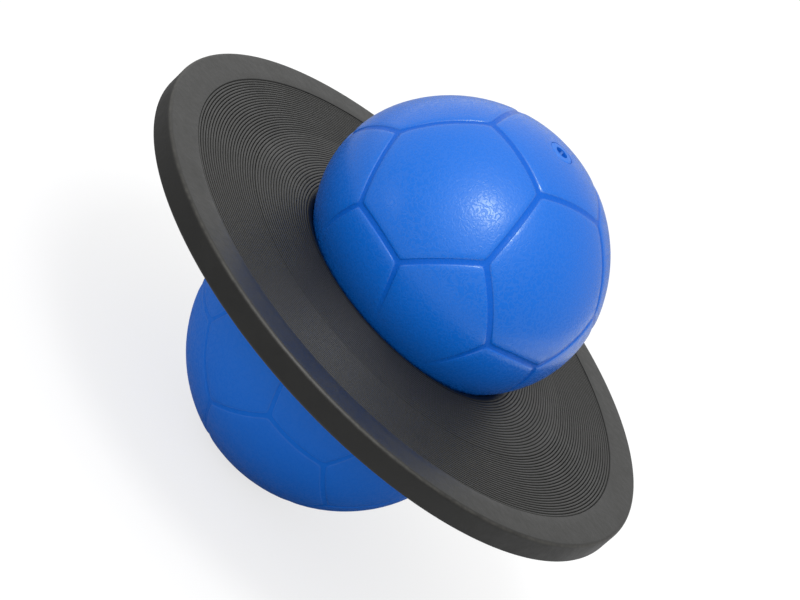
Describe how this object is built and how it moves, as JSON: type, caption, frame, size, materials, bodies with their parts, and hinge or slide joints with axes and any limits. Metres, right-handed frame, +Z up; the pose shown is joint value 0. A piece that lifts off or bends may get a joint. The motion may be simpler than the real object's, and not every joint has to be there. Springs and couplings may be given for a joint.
{
  "type": "bouncing balance disc",
  "caption": "Hopping toy: a soft air-filled ball with two lobes, held at its waist by a round ribbed plastic standing disc, with a plug valve at the top.",
  "frame": {"origin": "middle of the flat contact patch under the lower lobe, on the floor", "axes": "+Z up along the common axis of ball and disc; -Y towards the viewer of the picture"},
  "size_m": [0.3899, 0.39, 0.2912],
  "materials": {
    "ball_pvc": "soft vinyl, satin gloss with fine leathery grain",
    "disc_plastic": "moulded black plastic, matte, with concentric grip ribs",
    "valve_pvc": "soft vinyl, satin",
    "plug_pvc": "firm vinyl, satin"
  },
  "bodies": {
    "ball": {"ball_shell": "ball_pvc"},
    "platform": {"disc": "disc_plastic", "valve_body": "valve_pvc"},
    "plug": {"valve_plug": "plug_pvc"}
  },
  "joints": [
    {"name": "bounce", "type": "slide", "parent": "ball", "child": "platform", "axis": [0, 0, -1], "range_m": [0, 0.045], "stiffness_N_per_m": 14000, "springref_m": -0.0006, "deforming": ["ball_shell"]},
    {"name": "plug_pull", "type": "slide", "parent": "platform", "child": "plug", "axis": [0, 0, 1], "range_m": [0, 0.016]}
  ]
}
